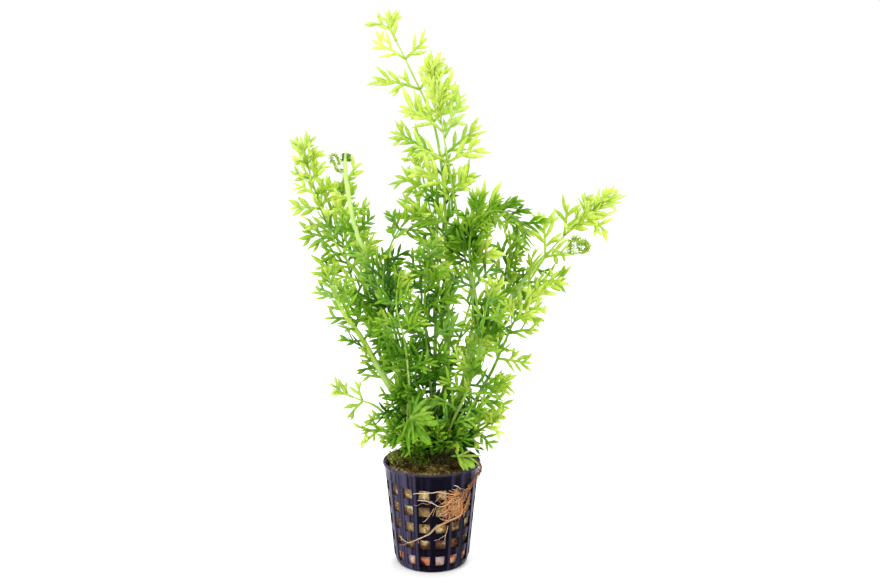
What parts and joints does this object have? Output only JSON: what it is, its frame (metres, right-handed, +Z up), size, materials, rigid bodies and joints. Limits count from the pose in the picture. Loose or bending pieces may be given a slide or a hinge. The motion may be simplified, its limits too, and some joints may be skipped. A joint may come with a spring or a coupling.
{
  "type": "water sprite plant in a net pot",
  "caption": "Water sprite, a finely divided aquarium fern, growing from a rockwool plug in a black net pot with roots over its rim.",
  "frame": {"origin": "middle of the underside of the net pot", "axes": "+Z up along the pot's axis, -Y towards the front of the plant, +X to the right seen from the front"},
  "size_m": [0.1637, 0.0945, 0.2821],
  "materials": {
    "pot_plastic": "black moulded plastic, satin",
    "rockwool": "matted mineral fibre, dull",
    "crown": "scaly living rootstock",
    "leaf": "living leaf, satin",
    "leaf_young": "young living leaf, satin",
    "leaf_deep": "older living leaf, satin",
    "root": "living root, moist"
  },
  "bodies": {
    "root": {"crown": "crown", "frond_arching": "leaf_deep", "frond_back": "leaf_deep", "frond_back_left": "leaf", "frond_back_right": "leaf", "frond_bright": "leaf_young", "frond_front": "leaf_deep", "frond_front_broad": "leaf_young", "frond_front_right": "leaf", "frond_front_thin": "leaf", "frond_left": "leaf", "frond_left_back": "leaf", "frond_left_curled": "leaf", "frond_left_low": "leaf", "frond_left_rim": "leaf_young", "frond_left_side": "leaf", "frond_middle": "leaf_deep", "frond_over_rim": "leaf", "frond_right": "leaf_young", "frond_right_back": "leaf", "frond_right_curled": "leaf", "frond_right_inner": "leaf", "frond_right_low": "leaf_young", "frond_right_side": "leaf", "frond_tall": "leaf", "pot": "pot_plastic", "rockwool": "rockwool", "root_bundle": "root", "root_long": "root", "root_loop": "root", "root_middle": "root", "root_right": "root", "root_thin_low": "root", "root_thin_middle": "root", "root_upper": "root"}
  },
  "joints": []
}
